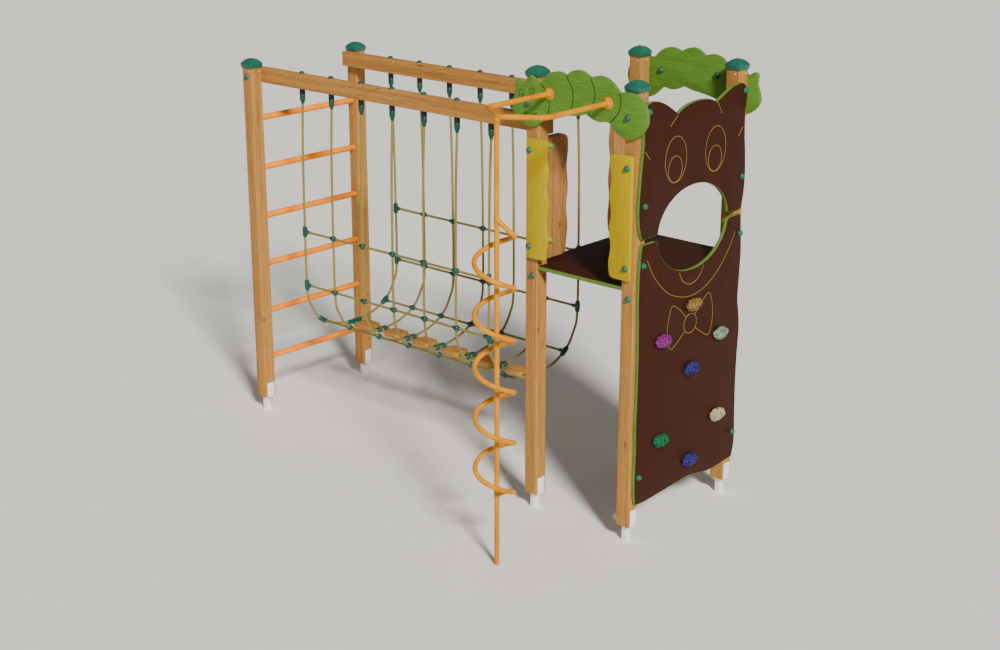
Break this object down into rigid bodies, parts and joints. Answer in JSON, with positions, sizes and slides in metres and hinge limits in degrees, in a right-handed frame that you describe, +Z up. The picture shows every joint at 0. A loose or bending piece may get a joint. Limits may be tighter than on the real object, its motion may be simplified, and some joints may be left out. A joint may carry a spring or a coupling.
{
  "type": "playground climbing unit",
  "caption": "Timber playground unit: platform tower with bear-faced climbing wall and bug-shaped panels, rope net bridge with treads, ladder end and spiral climbing pole.",
  "frame": {"origin": "bottom centre of the whole unit's bounding box, on the ground", "axes": "+X along the rope bridge from the ladder end to the tower, +Y from the spiral climber's side to the back, +Z up"},
  "size_m": [3.3534, 1.8706, 2.703],
  "materials": {
    "timber": "honey stained and sealed, fine vertical grain",
    "teal_plastic": "satin moulded plastic",
    "galvanised_steel": "bright galvanised",
    "yellow_tube": "powder coated, semi-gloss",
    "rope": "laid rope, matt",
    "tread_board": "stained board, satin",
    "brown_panel": "speckled brown skin over a lime core",
    "lime_panel": "fine-textured board",
    "yellow_panel": "fine-textured board",
    "hold_tan": "sandy cast resin",
    "hold_magenta": "sandy cast resin",
    "hold_mint": "sandy cast resin",
    "hold_blue": "sandy cast resin",
    "hold_cream": "sandy cast resin",
    "hold_green": "sandy cast resin"
  },
  "bodies": {
    "root": {"post_tower_front_left": "timber", "post_cap_tower_front_left": "teal_plastic", "post_foot_tower_front_left": "galvanised_steel", "post_tower_front_right": "timber", "post_cap_tower_front_right": "teal_plastic", "post_foot_tower_front_right": "galvanised_steel", "post_tower_back_left": "timber", "post_cap_tower_back_left": "teal_plastic", "post_foot_tower_back_left": "galvanised_steel", "post_tower_back_right": "timber", "post_cap_tower_back_right": "teal_plastic", "post_foot_tower_back_right": "galvanised_steel", "platform_board": "brown_panel", "climbing_wall_upper_panel": "brown_panel", "climbing_wall_lower_panel": "brown_panel", "climbing_hold_1": "hold_tan", "climbing_hold_2": "hold_magenta", "climbing_hold_3": "hold_mint", "climbing_hold_4": "hold_blue", "climbing_hold_5": "hold_cream", "climbing_hold_6": "hold_green", "climbing_hold_7": "hold_blue", "bug_panel_front": "lime_panel", "bug_panel_back": "lime_panel", "entrance_side_panel_left": "yellow_panel", "entrance_side_panel_right": "yellow_panel", "net_opening_board_front": "timber", "net_opening_board_back": "timber", "post_ladder_front": "timber", "post_cap_ladder_front": "teal_plastic", "post_foot_ladder_front": "galvanised_steel", "post_ladder_back": "timber", "post_cap_ladder_back": "teal_plastic", "post_foot_ladder_back": "galvanised_steel", "ladder_rung_1": "yellow_tube", "ladder_rung_2": "yellow_tube", "ladder_rung_3": "yellow_tube", "ladder_rung_4": "yellow_tube", "ladder_rung_5": "yellow_tube", "ladder_rung_6": "yellow_tube", "top_beam_front": "timber", "top_beam_back": "timber", "net_side_rope_front_upper": "rope", "net_side_rope_back_upper": "rope", "net_side_rope_front_lower": "rope", "net_side_rope_back_lower": "rope", "net_floor_ropes": "rope", "net_rib_rope_2": "rope", "net_rib_rope_3": "rope", "net_rib_rope_4": "rope", "net_rib_rope_5": "rope", "net_rib_rope_6": "rope", "net_rib_rope_7": "rope", "net_tread_1": "tread_board", "net_tread_2": "tread_board", "net_tread_3": "tread_board", "net_tread_4": "tread_board", "net_tread_5": "tread_board", "net_tread_6": "tread_board", "spiral_climber": "yellow_tube"}
  },
  "joints": []
}
